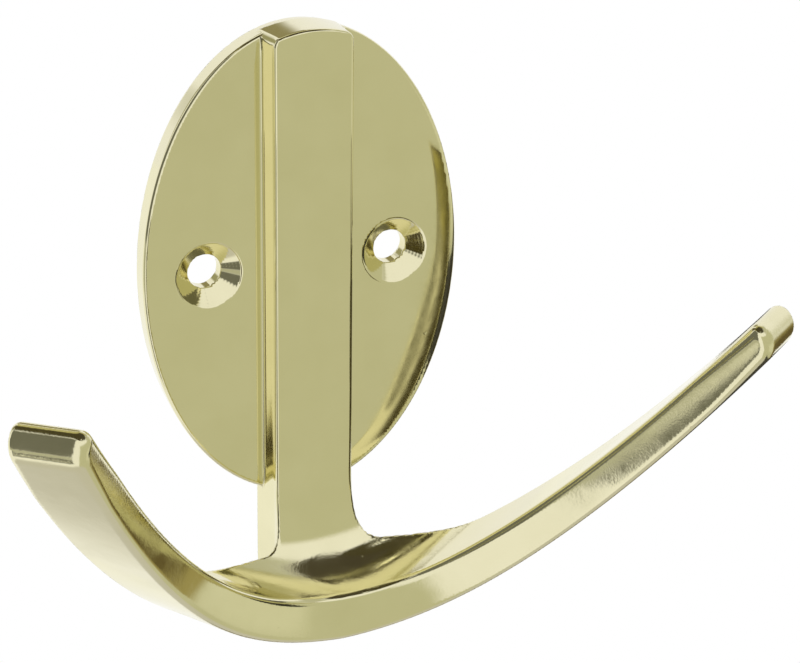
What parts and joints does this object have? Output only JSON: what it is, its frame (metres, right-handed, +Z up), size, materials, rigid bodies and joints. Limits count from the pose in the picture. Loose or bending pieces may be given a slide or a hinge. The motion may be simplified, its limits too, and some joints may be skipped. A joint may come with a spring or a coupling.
{
  "type": "double robe hook",
  "caption": "One-piece cast wall hook: an oval plate with a raised rib that runs down into a saddle and two arms swept outward, forward and up.",
  "frame": {"origin": "middle of the oval plate's back face, on the wall", "axes": "+X along the wall to the hook's right, +Y into the wall, +Z up; the hook faces -Y"},
  "size_m": [0.0972, 0.0462, 0.0767],
  "materials": {
    "polished_brass": "polished"
  },
  "bodies": {
    "root": {"robe_hook": "polished_brass"}
  },
  "joints": []
}
